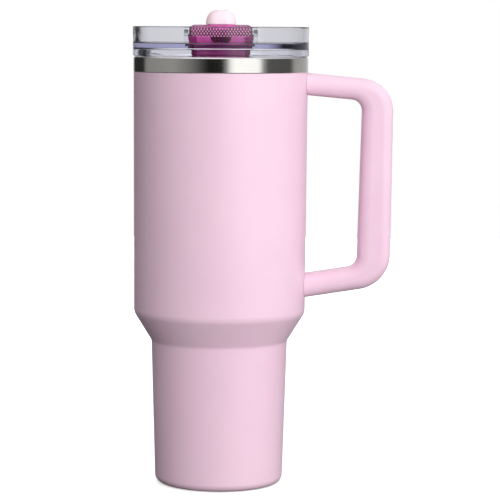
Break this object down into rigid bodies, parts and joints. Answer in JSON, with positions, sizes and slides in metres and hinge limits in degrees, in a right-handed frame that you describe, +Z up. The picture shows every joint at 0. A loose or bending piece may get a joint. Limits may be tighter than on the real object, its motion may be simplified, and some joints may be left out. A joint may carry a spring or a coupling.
{
  "type": "insulated tumbler with lid",
  "caption": "Tall double-walled steel tumbler with a side handle, tapered foot, clear press-in lid, fold-down drinking spout and a straw.",
  "frame": {"origin": "centre of the base, on the vessel's axis, in the plane it stands on", "axes": "+Z up along the vessel's axis, +X towards the handle, -Y towards the drinker, who faces the spout"},
  "size_m": [0.145, 0.098, 0.2651],
  "materials": {
    "coated_steel": "satin powder coat",
    "bare_steel": "brushed",
    "plain_steel": "fine satin",
    "seal_glass": "fused solder glass",
    "getter_metal": "sintered",
    "handle_plastic": "satin",
    "handle_insert": "satin",
    "screw_steel": "polished",
    "clear_plastic": "clear gloss",
    "spout_plastic": "tinted gloss",
    "soft_silicone": "soft matte",
    "clear_silicone": "milky",
    "straw_plastic": "tinted"
  },
  "bodies": {
    "vessel": {"outer_wall": "coated_steel", "inner_liner": "bare_steel", "inner_base": "bare_steel", "base_plate": "plain_steel", "vacuum_seal": "seal_glass", "getter": "getter_metal", "upper_handle_bracket": "plain_steel", "lower_handle_bracket": "plain_steel", "handle_frame": "handle_plastic", "handle_grip_insert": "handle_insert", "handle_screws": "screw_steel"},
    "gasket_ring": {"lid_gasket": "clear_silicone"},
    "lid": {"lid_shell": "clear_plastic", "spout_housing": "spout_plastic", "housing_gasket": "clear_silicone", "port_seal": "clear_silicone", "straw_seal": "clear_silicone", "straw": "straw_plastic", "vent_valve": "clear_silicone", "spout_pins": "clear_plastic"},
    "spout": {"spout_carrier": "spout_plastic", "mouthpiece": "soft_silicone"}
  },
  "joints": [
    {"name": "lid_lift", "type": "slide", "parent": "vessel", "child": "gasket_ring", "axis": [0, 0, 1], "range_m": [0, 0.25]},
    {"name": "lid_turn", "type": "hinge", "parent": "gasket_ring", "child": "lid", "pos_m": [0, 0, 0.232], "axis": [0, 0, 1], "continuous": true},
    {"name": "spout_fold", "type": "hinge", "parent": "lid", "child": "spout", "pos_m": [0, -0.016, 0.2502], "axis": [-1, 0, 0], "range_deg": [0, 90]}
  ]
}
